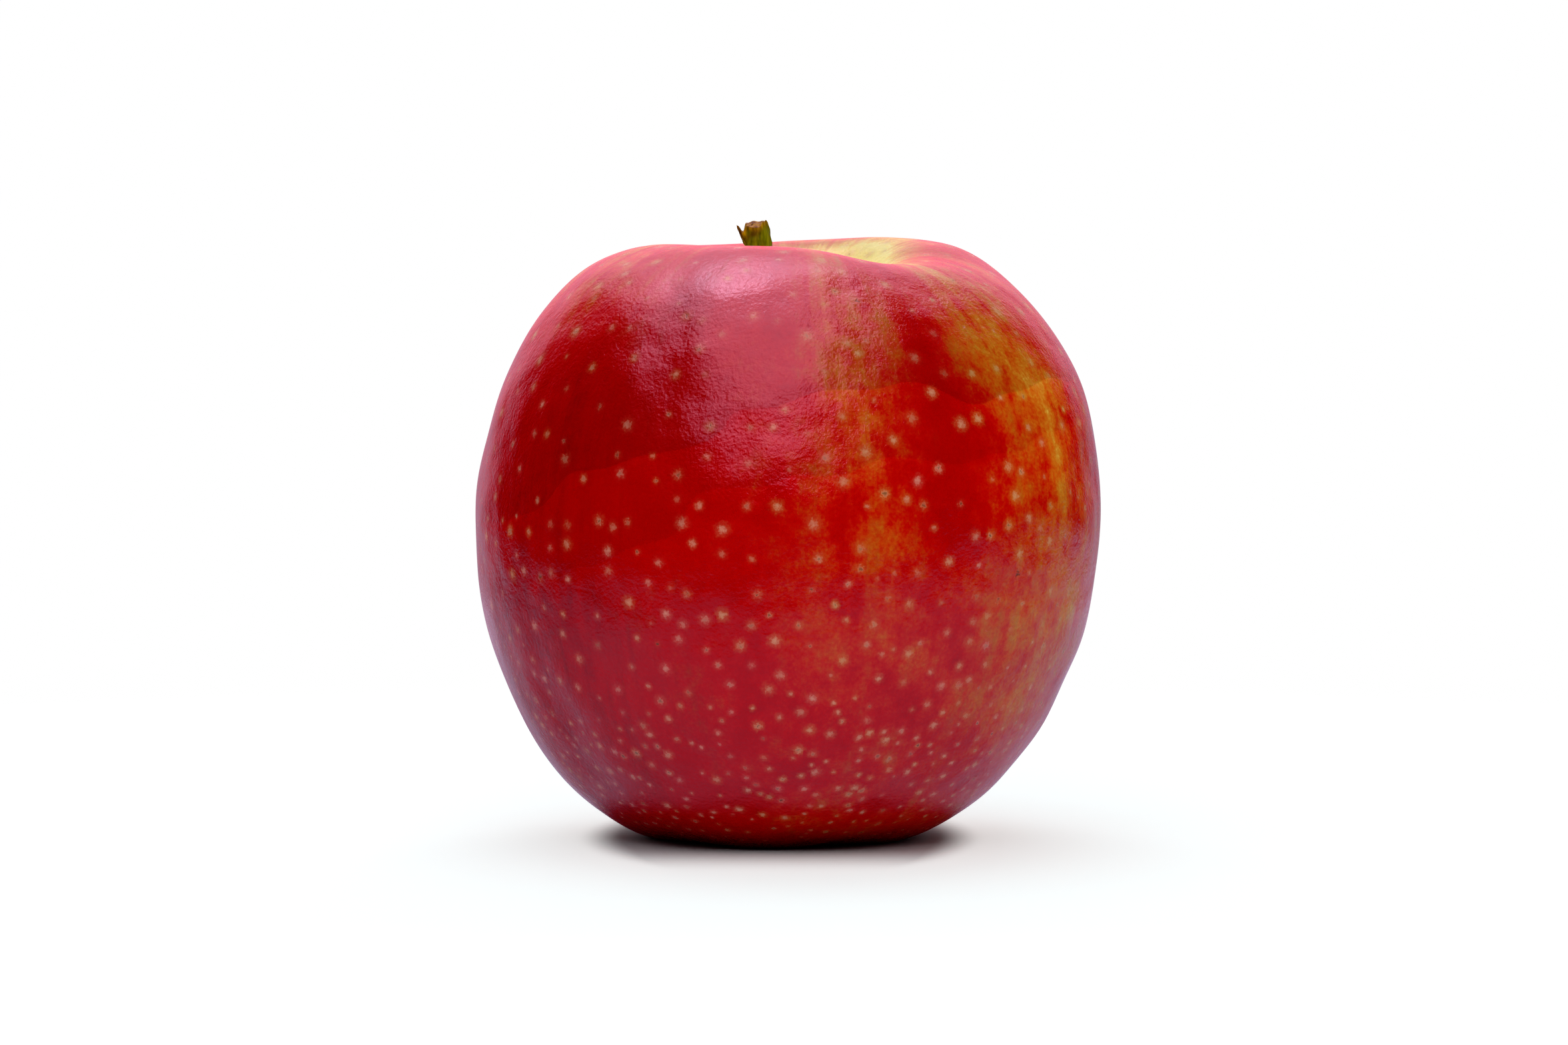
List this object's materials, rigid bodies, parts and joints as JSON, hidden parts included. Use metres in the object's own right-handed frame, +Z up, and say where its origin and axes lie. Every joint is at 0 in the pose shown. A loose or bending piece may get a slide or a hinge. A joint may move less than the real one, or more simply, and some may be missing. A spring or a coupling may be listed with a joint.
{
  "type": "apple",
  "caption": "Round red apple with a deep stem cavity, a short woody stem and a dried calyx underneath, standing on the lobes round its base.",
  "frame": {"origin": "on the surface the apple stands on, under the middle of the fruit's bounding box", "axes": "+Z up along the core, from the calyx to the stem; -Y is the front, and the stem leans towards -X"},
  "size_m": [0.0774, 0.078, 0.0766],
  "materials": {
    "skin": "smooth waxy fruit skin, crimson over yellow with pale dots",
    "stem_bark": "rough green-brown bark with a torn pale end",
    "dry_sepal": "dry, matt and slightly downy",
    "dry_stamen": "dry and matt"
  },
  "bodies": {
    "root": {"fruit": "skin", "stem": "stem_bark", "sepal_1": "dry_sepal", "sepal_2": "dry_sepal", "sepal_3": "dry_sepal", "sepal_4": "dry_sepal", "sepal_5": "dry_sepal", "stamens": "dry_stamen", "styles": "dry_stamen"}
  },
  "joints": []
}
